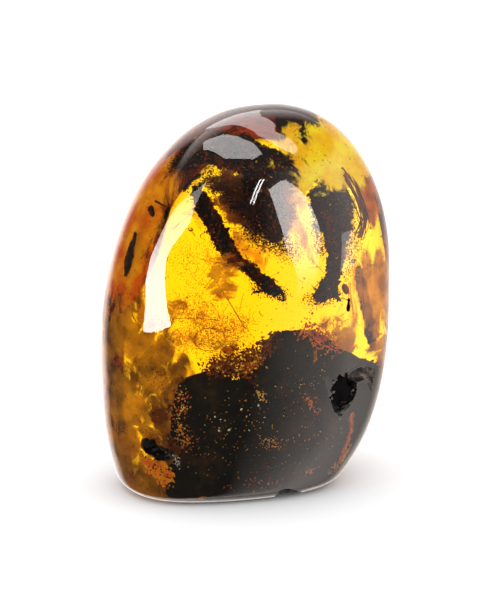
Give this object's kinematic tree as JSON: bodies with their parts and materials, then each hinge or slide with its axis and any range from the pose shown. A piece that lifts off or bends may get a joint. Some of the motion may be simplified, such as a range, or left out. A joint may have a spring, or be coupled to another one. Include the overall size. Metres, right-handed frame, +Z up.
{
  "type": "polished amber specimen",
  "caption": "Polished free-form piece of clear yellow amber with dark bark, humus and plant scraps sealed inside, standing on a small flat base.",
  "frame": {"origin": "middle of the bounding box in plan, at the level of the flat base", "axes": "+Z up along the long side of the piece, -Y out of its broad front face, +X to the right as seen from the front"},
  "size_m": [0.0458, 0.031, 0.0606],
  "materials": {
    "resin": "clear yellow resin, polished glossy, deeper orange where it is thick",
    "humus": "matt black-brown crumbs of humus and rotten wood",
    "bark": "rough black-brown bark with ragged edges",
    "leaf": "thin dark brown leaf and stem scraps"
  },
  "bodies": {
    "root": {"resin_front": "resin", "resin_back": "resin", "humus_mass": "humus", "bark_crown": "bark", "bark_splinter": "bark", "bark_slab": "bark", "plant_stem": "leaf", "leaf_flake_left": "leaf", "leaf_flake_upper": "leaf", "leaf_flake_lower": "leaf"}
  },
  "joints": []
}
